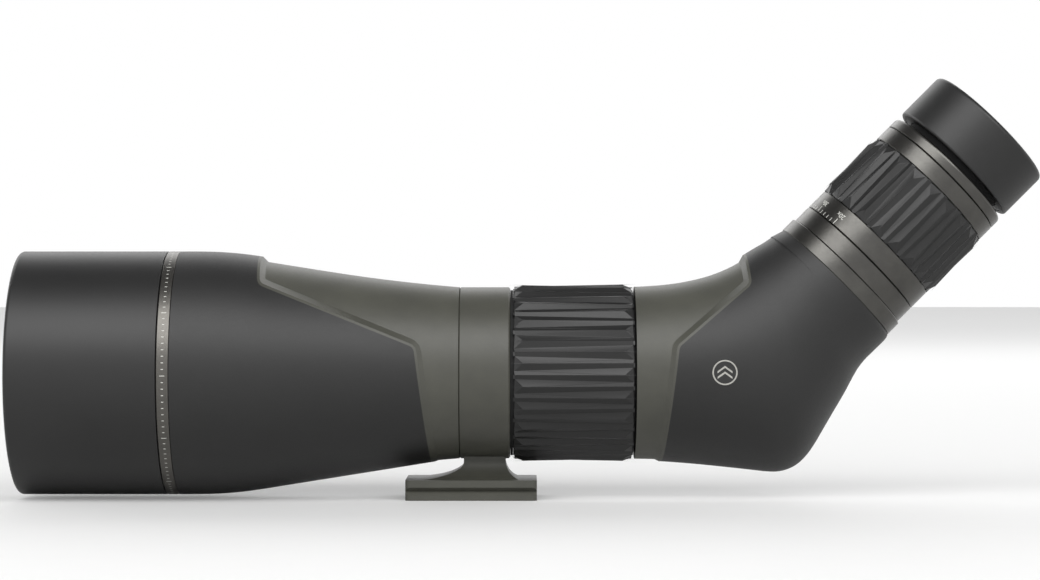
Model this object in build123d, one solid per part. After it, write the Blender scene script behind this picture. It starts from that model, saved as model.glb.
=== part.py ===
from build123d import *
import os
from math import atan2, cos, degrees, radians, sin, sqrt, tan

# Angled spotting scope on a rotating tripod collar.
# Millimetres, +Z up. The origin is the mouth of the tripod thread, in the middle of the foot's
# underside. The barrel lies along X with its objective towards -X, and the eyepiece rises
# towards +X in the plane Y = 0. Every piece is a solid of its own.

# ------------------------------------------------------------------ driving dimensions
AXIS_HEIGHT = 50.0            # barrel axis above the foot's underside
RUNNING = 0.05                # radial clearance of a turning or sliding fit
AIR = 0.3                     # free gap between pieces that pass each other
SEAM = 0.2                    # gap between two rings where one of them turns
OPEN_SIDE = 60.0              # how far side outlines are carried past the scope

# Foot
FOOT_LENGTH = 52.0
FOOT_WIDTH = 38.0
FOOT_HEIGHT = 8.0
FOOT_CORNER = 2.0
DOVETAIL_DEPTH = 1.8
DOVETAIL_LIP = 1.9            # height of the upright edge under the groove
DOVETAIL_RETURN = 1.5         # height of the undercut above the groove
THREAD_RADIUS = 3.175         # 1/4 inch tripod thread, nominal
INSERT_RADIUS = 5.0
INSERT_LENGTH = 7.5

# Pedestal between foot and collar
PEDESTAL_FRONT = 8.3          # ahead of the collar's middle
PEDESTAL_REAR = 8.3
PEDESTAL_NECK = 8.5           # half width across the scope
FRONT_SWEEP = 16.4            # how far the front root runs out along the foot
REAR_SWEEP = 5.2
SIDE_SWEEP = 9.0
PEDESTAL_WAIST = 7.0          # top of the flared root above the foot

# Collar
COLLAR_CENTRE = 5.3           # ahead (-) or behind (+) of the foot's middle
COLLAR_WIDTH = 20.2
COLLAR_RADIUS = 34.2
COLLAR_EDGE = 0.6
JOURNAL_RADIUS = 30.0         # outside of the tube that the collar and focus ring turn on
LINER_WALL = 1.4

# Collar lock
BOSS_RADIUS = 9.0
BOSS_REACH = 42.0             # from the barrel axis to the boss's face
PAD_RADIUS = 5.0
PAD_LENGTH = 6.0
STUD_RADIUS = 3.0
KNOB_RADIUS = 11.0
KNOB_WIDTH = 13.5
KNOB_FLUTES = 8
FLUTE_RADIUS = 2.6

# Front body
HOUSING_LENGTH = 111.1        # trim band to collar
BARREL_RADIUS = 48.5
SKIN = 2.0                    # rubber over the front of the casting
CASTING_WALL = 2.6
SHOULDER = 20.2               # straight front of the body before it tapers
SHOULDER_EASE = 12.5
KNEE_LENGTH = 27.8            # where the taper flattens, ahead of the collar
KNEE_RISE = 2.36
KNEE_EASE = 24.0
RIM_WIDTH = 1.0               # raised border round the bare panels
TUBE_SEAT = 15.2              # overlap of casting and centre tube ahead of the collar
BAND_WIDTH = 5.0
BAND_BEVEL = 0.35

# Bare panel of the front body: corners in X from the collar's front face, and height
FRONT_PANEL = [(-81.2, 60.0), (-78.5, 35.3), (-17.4, 10.75), (-7.8, -60.0)]
FRONT_PANEL_ROUNDS = [0, 4.0, 3.0, 0]

# Sunshade and objective
SHADE_LENGTH = 59.1
SHADE_WALL = 2.5
SHADE_ROUND = 1.7
SHADE_LIP = 3.0
OBJECTIVE_TUBE_RADIUS = 44.5
OBJECTIVE_TUBE_WALL = 1.9
TUBE_RECESS = 4.0             # tube's mouth behind the sunshade's
TUBE_OVERLAP = 15.9           # tube inside the casting
FELT_WIDTH = 5.5
CELL_WALL = 1.6
CELL_RECESS = 14.0            # cell's front behind the sunshade's mouth
CLEAR_APERTURE = 80.0
BAFFLE_THICKNESS = 1.5
FRONT_BAFFLE_BORE = 36.5      # radius
REAR_BAFFLE_BORE = 30.5

# Objective glass: edge thickness and the two surface radii of each lens, front to rear
FRONT_LENS = (5.0, 220.0, -300.0)
CROWN_LENS = (4.0, 300.0, -180.0)
FLINT_LENS = (9.0, -180.0, 560.0)
LENS_GAP = 8.0
RETAINER = 3.0

# Centre tube and focus
FOCUS_LENGTH = 48.7
FOCUS_RADIUS = 35.2
FOCUS_SHOULDER = 3.6
FOCUS_CORE = 33.0
SNAP_RING = 1.0
TUBE_WALL = 2.5
FOCUS_TURN = 300.0            # degrees from stop to stop
FOCUS_TRAVEL = 12.0
FOCUS_CELL_LENGTH = 16.0
FOCUS_LENS = (6.5, -160.0, 120.0)
FOCUS_CELL_WALL = 3.4
LENS_SEAT = 6.0               # focusing lens behind its cell's front
LIP = 1.5                     # how far a cell's lip reaches over its lens
LOCK_RING = 2.0
FOCUS_PIN = 2.0
SEAL_WIDTH = 2.0
SEAL_DEPTH = 1.2

# Prism housing
REAR_GAP = 0.8
REAR_RADIUS = 34.4
BEND_OFFSET = 44.2            # housing's front face to the crossing of the two axes
BEND_ANGLE = 45.0
HOUSING_RISE = 51.0           # crossing of the axes to the housing's top face
TOP_SKIN = 1.6
SOCKET_DEPTH = 11.0
# Sections of the casting from the barrel round to the eyepiece: X from the crossing and height
# of the upper and lower edge, half width, and rubber over the upper and lower edge
REAR_SECTIONS = [
    (-33.7, 35.0, -34.0, -34.6, 34.4, 1.7, 0.8),
    (-18.2, 37.6, -15.1, -35.9, 34.0, 1.8, 1.0),
    (-4.9, 42.6, 5.9, -37.9, 33.4, 1.8, 1.3),
    (-0.1, 45.4, 13.6, -38.0, 33.0, 1.8, 1.4),
    (3.5, 47.7, 20.5, -35.0, 32.4, 1.7, 1.6),
    (7.4, 50.0, 28.9, -24.3, 31.2, 1.6, 1.6),
    (11.9, 52.8, 40.4, -4.1, 29.2, 1.6, 1.6),
]
REAR_PANEL = [(-36.5, -60.0), (-27.6, 11.0), (1.3, 35.4), (-0.8, 60.0)]
REAR_PANEL_ROUNDS = [0, 3.0, 4.0, 0]
BADGE_RADIUS = 5.3
BADGE_PLACE = (-10.1, 1.0)    # X from the crossing, height above the barrel axis
BADGE_FACE = 35.0

# Prism
PRISM_FACE = 42.0             # length of the entrance and exit faces
PRISM_HALF_WIDTH = 15.0
CHEEK = 2.5
PLATE = 2.5
CLAMP_WIDTH = 10.0
CLAMP_DEPTH = 9.0
CLAMP_BRIDGE = 3.0
CAGE_SLEEVE = 9.0             # sleeve inside the centre tube
SCREW_RADIUS = 1.2

# Eyepiece rings, from the housing's top face upwards
MOUNT_WIDTH = 6.2
INDEX_WIDTH = 7.9
SCALE_WIDTH = 8.7
GRIP_WIDTH = 29.8
REAR_RING_WIDTH = 6.9
END_RING_WIDTH = 4.6
EYE_GAP = 2.6
EYECUP_LENGTH = 21.1
GRIP_SHOULDER = 2.4
RING_BEVEL = 0.3
BODY_RADIUS = 23.0            # tube that the zoom ring and the eyecup turn on
RING_RADIUS = BODY_RADIUS + 5.6
MOUNT_RADIUS = RING_RADIUS + 0.9
HOUSING_TOP = RING_RADIUS + 0.6          # radius over the rubber at the housing's top face
GRIP_RADIUS = RING_RADIUS + 0.9
BODY_WALL = 2.5
SPIGOT_WALL = 1.0
SPIGOT_LENGTH = 6.5
CAM_WALL = 2.35
CORE_WALL = 1.8
EYE_RELIEF_DEPTH = 6.8        # eyecup's rim above the body tube's end
DOT_RADIUS = 1.0

# Zoom movement
ZOOM_LOW = -50.0              # degrees from the rest position to the lowest power
ZOOM_HIGH = 46.0
ZOOM_PIN = 1.5
FRONT_GROUP = (9.0, 20.0, 17.5, 12.0)    # start, length, pin place, travel over the full turn
REAR_GROUP = (40.0, 12.0, 6.0, -8.0)     # starts are above the housing's top face
ZOOM_BORE = 15.0
ZOOM_FRONT_LENS = (5.5, -60.0, 70.0)
ZOOM_REAR_LENS = (3.0, 52.0, -52.0)
EYE_BORE = 17.0
EYE_INNER_LENS = (3.0, 60.0, -40.0)
EYE_OUTER_LENS = (3.0, 48.0, -95.0)
FIELD_STOP = 10.0

# Eyecup
CUP_RADIUS = BODY_RADIUS + 5.5
CUP_ROUND = 1.8
CUP_BORE = BODY_RADIUS - 3.0
CUP_WALL = 2.2
CUP_LIP = 2.3
BRAKE_WIDTH = 6.0
BRAKE_WALL = 1.45

# ------------------------------------------------------------------ places worked out from them
collar_start = COLLAR_CENTRE - COLLAR_WIDTH / 2
collar_end = COLLAR_CENTRE + COLLAR_WIDTH / 2
housing_front = collar_start - HOUSING_LENGTH
band_front = housing_front - BAND_WIDTH
shade_front = band_front - SHADE_LENGTH
focus_end = collar_end + FOCUS_LENGTH
rear_start = focus_end + REAR_GAP
bend_x = rear_start + BEND_OFFSET
casting_radius = BARREL_RADIUS - SKIN
tube_bore = JOURNAL_RADIUS - TUBE_WALL
tube_front = collar_start - TUBE_SEAT
tube_rear = rear_start + SOCKET_DEPTH - 1.0
cell_radius = OBJECTIVE_TUBE_RADIUS - OBJECTIVE_TUBE_WALL
lens_radius = cell_radius - CELL_WALL
objective_mouth = shade_front + TUBE_RECESS
objective_rear = housing_front + TUBE_OVERLAP

mount_start = HOUSING_RISE
index_start = mount_start + MOUNT_WIDTH
scale_start = index_start + INDEX_WIDTH
grip_start = scale_start + SCALE_WIDTH
grip_end = grip_start + GRIP_WIDTH
end_ring_start = grip_end + REAR_RING_WIDTH
cup_start = end_ring_start + END_RING_WIDTH + EYE_GAP
cup_end = cup_start + EYECUP_LENGTH
body_top = cup_end - EYE_RELIEF_DEPTH
cam_bore = BODY_RADIUS + RUNNING
cam_radius = cam_bore + CAM_WALL
core_radius = cam_radius + CORE_WALL
sleeve_radius = CUP_RADIUS - CUP_WALL

turn = radians(BEND_ANGLE)
along_eyepiece = Vector(cos(turn), 0, sin(turn))
BARREL = Plane(origin=(0, 0, AXIS_HEIGHT), x_dir=(0, 0, 1), z_dir=(1, 0, 0))
EYEPIECE = Plane(origin=(bend_x, 0, AXIS_HEIGHT), x_dir=(-sin(turn), 0, cos(turn)), z_dir=along_eyepiece)


# ------------------------------------------------------------------ building blocks
def turned(frame, *corners):
    """Solid of revolution about the frame's z axis from (along, radius[, rounding]) corners."""
    points = [(corner[1], corner[0]) for corner in corners]
    rounds = [corner[2] if len(corner) > 2 else 0 for corner in corners]
    outline = FilletPolyline(*points, radius=rounds, close=True)
    return frame * revolve(Plane.XZ * make_face(outline), Axis.Z)


def ring(frame, start, end, inner, outer):
    return turned(frame, (start, inner), (start, outer), (end, outer), (end, inner))


def bevelled_ring(frame, start, end, inner, outer, bevel):
    return turned(frame, (start, inner), (start, outer - bevel), (start + bevel, outer),
                  (end - bevel, outer), (end, outer - bevel), (end, inner))


def easing(before, corner, after, reach):
    """Radius of the arc that starts `reach` before a corner of a profile."""
    first = atan2(corner[1] - before[1], corner[0] - before[0])
    second = atan2(after[1] - corner[1], after[0] - corner[0])
    return reach / tan(abs(second - first) / 2)


def sag(radius, surface):
    """Depth of a spherical surface across a lens; a positive one bulges towards the front."""
    depth = abs(surface) - sqrt(surface ** 2 - radius ** 2)
    return depth if surface > 0 else -depth


def lens(frame, start, radius, glass):
    """Lens whose cylindrical edge begins at `start`."""
    edge, front, rear = glass
    front_tip = start - sag(radius, front)
    rear_tip = start + edge - sag(radius, rear)
    half = radius / 2
    outline = [
        ThreePointArc((0, front_tip), (half, front_tip + sag(half, front)), (radius, start)),
        Line((radius, start), (radius, start + edge)),
        ThreePointArc((radius, start + edge), (half, rear_tip + sag(half, rear)), (0, rear_tip)),
        Line((0, rear_tip), (0, front_tip)),
    ]
    return frame * revolve(Plane.XZ * make_face(outline), Axis.Z)


def peg(frame, along, angle, inner, outer, radius):
    """Round peg standing radially in the frame, `angle` degrees from the frame's x axis."""
    upright = Rot(0, 0, angle) * Pos(inner, 0, along) * Rot(0, 90, 0)
    return frame * (upright * Cylinder(radius, outer - inner, align=(Align.CENTER, Align.CENTER, Align.MIN)))


def straight_slot(frame, start, end, angle, inner, outer, width):
    """Radial slot along the frame's axis, with square ends."""
    block = Box(outer - inner, width, end - start, align=(Align.MIN, Align.CENTER, Align.MIN))
    return frame * (Rot(0, 0, angle) * Pos(inner, 0, start) * block)


def cam_slot(frame, middle, inner, outer, width, lead, start, end, angle=0.0):
    """Helical slot; it lies at `middle` at `angle` and advances `lead` along the axis per turn."""
    depth = outer - inner
    path = Helix(pitch=abs(lead), height=abs(lead) * (end - start) / 360,
                 radius=(inner + outer) / 2, lefthand=lead < 0)
    section = Plane(origin=path @ 0, x_dir=(1, 0, 0), z_dir=path % 0) * Rectangle(depth, width)
    first = start if lead > 0 else end
    return frame * (Pos(0, 0, middle + lead * first / 360) * Rot(0, 0, angle + first)
                    * sweep(section, path=path, is_frenet=True))


def side_prism(corners, rounds, origin_x, inset=0.0):
    """Outline seen from the side, carried right across the scope."""
    points = [(origin_x + x, AXIS_HEIGHT + z) for x, z in corners]
    face = make_face(FilletPolyline(*points, radius=rounds, close=True))
    if inset:
        face = offset(face, -inset, kind=Kind.INTERSECTION)
    return extrude(Plane.XZ * face, OPEN_SIDE, both=True)


# ------------------------------------------------------------------ tripod collar
def dovetail_foot():
    half = FOOT_WIDTH / 2
    waist = half - DOVETAIL_DEPTH
    groove = DOVETAIL_LIP + DOVETAIL_DEPTH
    corners = [(half, 0), (half, DOVETAIL_LIP), (waist, groove), (half, groove + DOVETAIL_RETURN),
               (half, FOOT_HEIGHT)]
    mirrored = [(-y, z) for y, z in reversed(corners)]
    section = make_face(Polyline(*corners, *mirrored, close=True))
    bar = extrude(Plane.YZ * section, FOOT_LENGTH / 2, both=True)
    plan = RectangleRounded(FOOT_LENGTH, FOOT_WIDTH, FOOT_CORNER)
    return bar & extrude(plan, FOOT_HEIGHT)


def pedestal():
    front = COLLAR_CENTRE - PEDESTAL_FRONT
    rear = COLLAR_CENTRE + PEDESTAL_REAR
    base = FOOT_HEIGHT
    waist = FOOT_HEIGHT + PEDESTAL_WAIST
    top = AXIS_HEIGHT - JOURNAL_RADIUS - LINER_WALL
    front_root = Spline((front - FRONT_SWEEP, base), (front - 0.45 * FRONT_SWEEP, base + 1.6),
                        (front - 0.12 * FRONT_SWEEP, base + 3.9), (front, waist), tangents=[(1, 0.1), (0, 1)])
    rear_root = ThreePointArc((rear, waist), (rear + 0.33 * REAR_SWEEP, base + 2.6),
                              (rear + REAR_SWEEP, base))
    side = make_face([
        front_root,
        Polyline((front, waist), (front, top), (rear, top), (rear, waist)),
        rear_root,
        Polyline((rear + REAR_SWEEP, base), (front - FRONT_SWEEP, base)),
    ])
    root = PEDESTAL_NECK + SIDE_SWEEP
    middle = PEDESTAL_NECK + 0.3 * SIDE_SWEEP
    left = ThreePointArc((root, base), (middle, base + 2.2), (PEDESTAL_NECK, waist))
    right = ThreePointArc((-PEDESTAL_NECK, waist), (-middle, base + 2.2), (-root, base))
    end = make_face([
        left,
        Polyline((PEDESTAL_NECK, waist), (PEDESTAL_NECK, top), (-PEDESTAL_NECK, top),
                 (-PEDESTAL_NECK, waist)),
        right,
        Polyline((-root, base), (root, base)),
    ])
    return extrude(Plane.XZ * side, OPEN_SIDE, both=True) & extrude(Plane.YZ * end, OPEN_SIDE, both=True)


def across(radius, start, end):
    """Cylinder along +Y through the collar's middle, at the height of the barrel axis."""
    frame = Plane(origin=(COLLAR_CENTRE, start, AXIS_HEIGHT), x_dir=(1, 0, 0), z_dir=(0, 1, 0))
    return frame * Cylinder(radius, end - start, align=(Align.CENTER, Align.CENTER, Align.MIN))


def tripod_collar():
    liner_radius = JOURNAL_RADIUS + RUNNING + LINER_WALL
    pad_start = JOURNAL_RADIUS + RUNNING
    pad_room = pad_start + PAD_LENGTH + 1.0
    casting = bevelled_ring(BARREL, collar_start, collar_end, liner_radius, COLLAR_RADIUS, COLLAR_EDGE)
    boss = across(BOSS_RADIUS, liner_radius + 1.0, BOSS_REACH)
    casting += boss + pedestal()
    casting -= ring(BARREL, collar_start - 1, collar_end + 1, 0, liner_radius)
    casting -= across(PAD_RADIUS + RUNNING, 0, pad_room)
    casting -= across(STUD_RADIUS + RUNNING, 0, BOSS_REACH + 1)
    liner = ring(BARREL, collar_start, collar_end, JOURNAL_RADIUS + RUNNING, liner_radius)
    liner -= across(PAD_RADIUS + RUNNING, 0, pad_room)
    upright = (Align.CENTER, Align.CENTER, Align.MIN)
    foot = dovetail_foot() - Pos(0, 0, -1) * Cylinder(INSERT_RADIUS, INSERT_LENGTH + 1, align=upright)
    insert = Cylinder(INSERT_RADIUS, INSERT_LENGTH, align=upright)
    insert -= Pos(0, 0, -1) * Cylinder(THREAD_RADIUS, INSERT_LENGTH + 2, align=upright)
    return {
        "collar_casting": casting,
        "dovetail_foot": foot,
        "collar_liner": liner,
        "thread_insert": insert,
    }


def collar_lock():
    pad_start = JOURNAL_RADIUS + RUNNING
    pad_end = pad_start + PAD_LENGTH
    knob_start = BOSS_REACH + AIR
    knob_end = knob_start + KNOB_WIDTH
    knob = across(KNOB_RADIUS, knob_start, knob_end)
    knob = fillet(knob.edges().filter_by(GeomType.CIRCLE), 1.2)
    for index in range(KNOB_FLUTES):
        angle = radians(360 * index / KNOB_FLUTES)
        reach = KNOB_RADIUS + 0.4 * FLUTE_RADIUS
        flute = across(FLUTE_RADIUS, knob_start + 3.0, knob_end + 1)
        knob -= Pos(reach * cos(angle), 0, reach * sin(angle)) * flute
    knob -= across(STUD_RADIUS, 0, knob_end - 4.0)
    return {
        "lock_pad": across(PAD_RADIUS, pad_start, pad_end),
        "lock_knob": knob,
        "lock_stud": across(STUD_RADIUS, pad_end + AIR, knob_end - 4.0),
    }


# ------------------------------------------------------------------ front body
def skin_line():
    """Outer line of the rubber from the trim band to the collar, as (along, radius) corners."""
    start = (housing_front, BARREL_RADIUS)
    shoulder = (housing_front + SHOULDER - 0.5, BARREL_RADIUS)
    end = (collar_start, COLLAR_RADIUS - 0.25)
    return [start, (*shoulder, easing(start, shoulder, end, SHOULDER_EASE)), end]


def casting_line(inset=0.0):
    """Outer line of the bare casting, or a line `inset` inside it."""
    start = (housing_front, casting_radius - inset)
    shoulder = (housing_front + SHOULDER + 0.6, casting_radius - inset)
    knee = (collar_start - KNEE_LENGTH, COLLAR_RADIUS + KNEE_RISE - inset)
    end = (collar_start, COLLAR_RADIUS - inset)
    return [
        start,
        (*shoulder, easing(start, shoulder, knee, SHOULDER_EASE)),
        (*knee, easing(shoulder, knee, end, KNEE_EASE)),
        end,
    ]


def front_body():
    skin = turned(BARREL, (housing_front, 0), *skin_line(), (collar_start, 0))
    casting = turned(BARREL, (housing_front, 0), *casting_line(), (collar_start, 0))
    hollow = turned(BARREL, (housing_front, 0), *casting_line(CASTING_WALL), (collar_start, 0))
    corners = FRONT_PANEL + [(5.0, -60.0), (5.0, 60.0)]
    rounds = FRONT_PANEL_ROUNDS + [0, 0]
    panel = side_prism(corners, rounds, collar_start)
    recess = side_prism(corners, rounds, collar_start, inset=RIM_WIDTH)
    hollow -= ring(BARREL, housing_front - 1, objective_rear, 0, BARREL_RADIUS)
    hollow -= ring(BARREL, tube_front, collar_start + 1, 0, BARREL_RADIUS)
    housing = casting + (skin & (panel - recess)) - hollow
    housing -= ring(BARREL, housing_front - 1, objective_rear, 0, OBJECTIVE_TUBE_RADIUS)
    housing -= ring(BARREL, tube_front, collar_start + 1, 0, JOURNAL_RADIUS)
    armor = skin - casting - panel
    band = bevelled_ring(BARREL, band_front, housing_front, OBJECTIVE_TUBE_RADIUS, BARREL_RADIUS, BAND_BEVEL)
    return {"barrel_housing": housing, "front_armor": armor, "trim_band": band}


def sunshade():
    inner = BARREL_RADIUS - SHADE_WALL
    lip = OBJECTIVE_TUBE_RADIUS + AIR
    end = band_front - SEAM
    sleeve = turned(BARREL, (shade_front, inner), (shade_front, BARREL_RADIUS, SHADE_ROUND),
                    (end, BARREL_RADIUS, BAND_BEVEL), (end, lip), (end - SHADE_LIP, lip),
                    (end - SHADE_LIP, inner))
    return {"sunshade_sleeve": sleeve}


def objective():
    lip = BARREL_RADIUS - SHADE_WALL - 0.4
    lip_end = objective_mouth + 3.0
    felt_start = lip_end + 0.5
    felt_end = felt_start + FELT_WIDTH
    cell_front = shade_front + CELL_RECESS
    front_start = cell_front + RETAINER
    front_end = front_start + FRONT_LENS[0]
    crown_start = front_end + LENS_GAP
    flint_start = crown_start + CROWN_LENS[0]
    flint_end = flint_start + FLINT_LENS[0]
    aperture = CLEAR_APERTURE / 2
    spacer = ring(BARREL, front_end, crown_start, aperture, lens_radius)
    front_lens = lens(BARREL, front_start, lens_radius, FRONT_LENS)
    crown_lens = lens(BARREL, crown_start, lens_radius, CROWN_LENS)
    tube = turned(BARREL, (objective_mouth, cell_radius), (objective_mouth, lip), (lip_end, lip),
                  (lip_end, OBJECTIVE_TUBE_RADIUS), (objective_rear, OBJECTIVE_TUBE_RADIUS),
                  (objective_rear, cell_radius))
    cell = turned(BARREL, (cell_front, lens_radius), (cell_front, cell_radius),
                  (flint_end + RETAINER, cell_radius), (flint_end + RETAINER, aperture),
                  (flint_end, aperture), (flint_end, lens_radius))
    baffle_place = housing_front + 5.0
    rear_place = collar_start - KNEE_LENGTH - 18.0
    rear_rim = COLLAR_RADIUS + KNEE_RISE - CASTING_WALL + 2.4
    rear_end = rear_place + BAFFLE_THICKNESS
    front_baffle = ring(BARREL, baffle_place, baffle_place + BAFFLE_THICKNESS, FRONT_BAFFLE_BORE, cell_radius)
    rear_baffle = turned(BARREL, (rear_place, REAR_BAFFLE_BORE), (rear_place, rear_rim),
                         (rear_end, rear_rim - 0.2), (rear_end, REAR_BAFFLE_BORE))
    return {
        "objective_tube": tube,
        "sunshade_felt": ring(BARREL, felt_start, felt_end, OBJECTIVE_TUBE_RADIUS,
                              BARREL_RADIUS - SHADE_WALL - RUNNING),
        "objective_cell": cell,
        "objective_retaining_ring": ring(BARREL, cell_front, front_start, aperture, lens_radius) - front_lens,
        "objective_front_lens": front_lens,
        "objective_spacer": spacer - front_lens - crown_lens,
        "objective_crown_lens": crown_lens,
        "objective_flint_lens": lens(BARREL, flint_start, lens_radius, FLINT_LENS),
        "baffles": Compound([front_baffle, rear_baffle]),
    }


# ------------------------------------------------------------------ centre tube and focus
def centre_tube():
    middle = (collar_end + focus_end) / 2
    pin_room = FOCUS_PIN + 2 * RUNNING
    tube = ring(BARREL, tube_front, tube_rear, tube_bore, JOURNAL_RADIUS)
    tube -= straight_slot(BARREL, middle - FOCUS_TRAVEL / 2 - pin_room, middle + FOCUS_TRAVEL / 2 + pin_room,
                          0, tube_bore - 2, JOURNAL_RADIUS + 1, 2 * pin_room)
    seals = []
    for place in (collar_end + 4.0, focus_end - 4.0):
        tube -= ring(BARREL, place, place + SEAL_WIDTH, JOURNAL_RADIUS - SEAL_DEPTH, JOURNAL_RADIUS + 1)
        seals.append(ring(BARREL, place, place + SEAL_WIDTH, JOURNAL_RADIUS - SEAL_DEPTH, JOURNAL_RADIUS))
    snap = ring(BARREL, collar_end + 0.1, collar_end + 0.1 + SNAP_RING, JOURNAL_RADIUS, FOCUS_CORE)
    return {"center_tube": tube, "focus_seals": Compound(seals), "collar_retaining_ring": snap}


def focus():
    start = collar_end + SNAP_RING + SEAM
    middle = (collar_end + focus_end) / 2
    pin_room = FOCUS_PIN + 2 * RUNNING
    groove_depth = FOCUS_CORE - 0.9
    lead = -FOCUS_TRAVEL * 360 / FOCUS_TURN
    spare = degrees(pin_room / JOURNAL_RADIUS) + 1.0
    core = ring(BARREL, start, focus_end, JOURNAL_RADIUS + RUNNING, FOCUS_CORE)
    core -= cam_slot(BARREL, middle, JOURNAL_RADIUS - 1.0, groove_depth, 2 * pin_room, lead,
                     -FOCUS_TURN / 2 - spare, FOCUS_TURN / 2 + spare)
    waist = FOCUS_RADIUS - 0.3
    edge = FOCUS_RADIUS - 0.9
    grip = turned(BARREL, (start, FOCUS_CORE), (start, edge), (start + FOCUS_SHOULDER, FOCUS_RADIUS),
                  (middle - 4.0, waist), (focus_end - FOCUS_SHOULDER, FOCUS_RADIUS), (focus_end, edge),
                  (focus_end, FOCUS_CORE))
    half = FOCUS_CELL_LENGTH / 2
    bore = tube_bore - RUNNING - FOCUS_CELL_WALL
    cell_outer = tube_bore - RUNNING
    lens_end = middle - half + LENS_SEAT + FOCUS_LENS[0]
    seat = middle - half + LENS_SEAT
    cell = turned(BARREL, (middle - half, bore - LIP), (middle - half, cell_outer),
                  (middle + half, cell_outer), (middle + half, bore), (seat, bore), (seat, bore - LIP))
    pin = peg(BARREL, middle, 0, bore + 1.0, groove_depth - 0.2, FOCUS_PIN)
    cell -= pin
    return {
        "focus_ring_core": core,
        "focus_grip": grip,
        "focus_cell": cell,
        "focus_lens": lens(BARREL, seat, bore, FOCUS_LENS),
        "focus_retaining_ring": ring(BARREL, lens_end, lens_end + LOCK_RING, bore - LIP, bore),
        "focus_drive_pin": pin,
    }


# ------------------------------------------------------------------ prism housing
def rear_section(upper, lower, half_width):
    """Elliptical section standing across the scope between two points of the X-Z plane."""
    rise = upper - lower
    frame = Plane(origin=(upper + lower) / 2, x_dir=rise, z_dir=Vector(0, 1, 0).cross(rise))
    return frame * Ellipse(max(rise.length / 2, half_width), half_width)


def rear_rows():
    """The housing's sections in the row's frame, with the two round ends added."""
    top = EYEPIECE.origin + along_eyepiece * HOUSING_RISE
    end = HOUSING_TOP - TOP_SKIN
    across_x = end * sin(turn)
    across_z = end * cos(turn)
    first = (rear_start, AXIS_HEIGHT + REAR_RADIUS, rear_start, AXIS_HEIGHT - REAR_RADIUS, REAR_RADIUS,
             REAR_SECTIONS[0][5], REAR_SECTIONS[0][6])
    last = (top.X - across_x, top.Z + across_z, top.X + across_x, top.Z - across_z, end, TOP_SKIN, TOP_SKIN)
    middle = [(bend_x + row[0], AXIS_HEIGHT + row[1], bend_x + row[2], AXIS_HEIGHT + row[3], *row[4:])
              for row in REAR_SECTIONS]
    return [first, *middle, last]


def along_curve(points):
    """The points, and one more between each two, on a smooth curve in the X-Z plane."""
    curve = Spline(*[(x, 0, z) for x, z in points])
    stops = [curve.param_at_point((x, 0, z)) for x, z in points]
    halfway = [(a + b) / 2 for a, b in zip(stops, stops[1:])]
    return [curve @ stop for stop in sorted(stops + halfway)]


def with_means(values):
    return [value for pair in zip(values, values[1:]) for value in (pair[0], sum(pair) / 2)] + [values[-1]]


def rear_shape(inset=0.0, rubber=False):
    """Loft from the barrel to the eyepiece: the casting, its rubber outside or its hollow."""
    rows = rear_rows()
    uppers = along_curve([(row[0], row[1]) for row in rows])
    lowers = along_curve([(row[2], row[3]) for row in rows])
    half_widths = with_means([row[4] for row in rows])
    top_skins = with_means([row[5] for row in rows])
    bottom_skins = with_means([row[6] for row in rows])
    sections = []
    for upper, lower, half_width, top_skin, bottom_skin in zip(uppers, lowers, half_widths, top_skins,
                                                               bottom_skins):
        outward = (upper - lower).normalized()
        over = top_skin if rubber else -inset
        under = bottom_skin if rubber else -inset
        side = (top_skin + bottom_skin) / 2 if rubber else -inset
        sections.append(rear_section(upper + outward * over, lower - outward * under, half_width + side))
    return loft(sections)


def prism_housing():
    casting = rear_shape()
    skin = rear_shape(rubber=True)
    hollow = rear_shape(inset=CASTING_WALL)
    seat = JOURNAL_RADIUS + 4.0
    spigot = BODY_RADIUS + SPIGOT_WALL
    floor = HOUSING_RISE - SPIGOT_LENGTH
    hollow -= ring(BARREL, rear_start - 1, rear_start + SOCKET_DEPTH, 0, seat)
    hollow -= ring(EYEPIECE, floor, HOUSING_RISE + 1, 0, HOUSING_TOP + 5)
    corners = [(-60.0, -60.0)] + REAR_PANEL + [(-60.0, 60.0)]
    rounds = [0] + REAR_PANEL_ROUNDS + [0]
    panel = side_prism(corners, rounds, bend_x)
    recess = side_prism(corners, rounds, bend_x, inset=RIM_WIDTH)
    housing = casting + (skin & (panel - recess)) - hollow
    housing -= ring(BARREL, rear_start - 1, rear_start + SOCKET_DEPTH, 0, JOURNAL_RADIUS)
    housing -= ring(EYEPIECE, floor - 1, HOUSING_RISE + 1, 0, spigot)
    armor = skin - casting - panel
    place = Plane(origin=(bend_x + BADGE_PLACE[0], 0, AXIS_HEIGHT + BADGE_PLACE[1]), x_dir=(1, 0, 0),
                  z_dir=(0, -1, 0))
    badge = place * Pos(0, 0, BADGE_FACE - 1.2) * Cylinder(BADGE_RADIUS, 1.2,
                                                           align=(Align.CENTER, Align.CENTER, Align.MIN))
    pocket = place * Pos(0, 0, BADGE_FACE - 1.2) * Cylinder(BADGE_RADIUS, 6.0,
                                                            align=(Align.CENTER, Align.CENTER, Align.MIN))
    armor -= pocket
    housing -= pocket
    return {"prism_housing": housing, "rear_armor": armor, "badge": badge}


def prism_corners():
    """Corner between the two faces, foot of the entrance face, far end of the exit face."""
    half_beam = PRISM_FACE / 2 * sin(turn)
    apex_x = bend_x - half_beam * (1 - cos(turn)) / sin(turn)
    apex = (apex_x, AXIS_HEIGHT + half_beam)
    foot = (apex_x, apex[1] - PRISM_FACE)
    far = (apex_x + PRISM_FACE * sin(turn), apex[1] - PRISM_FACE * cos(turn))
    return apex, foot, far


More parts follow.
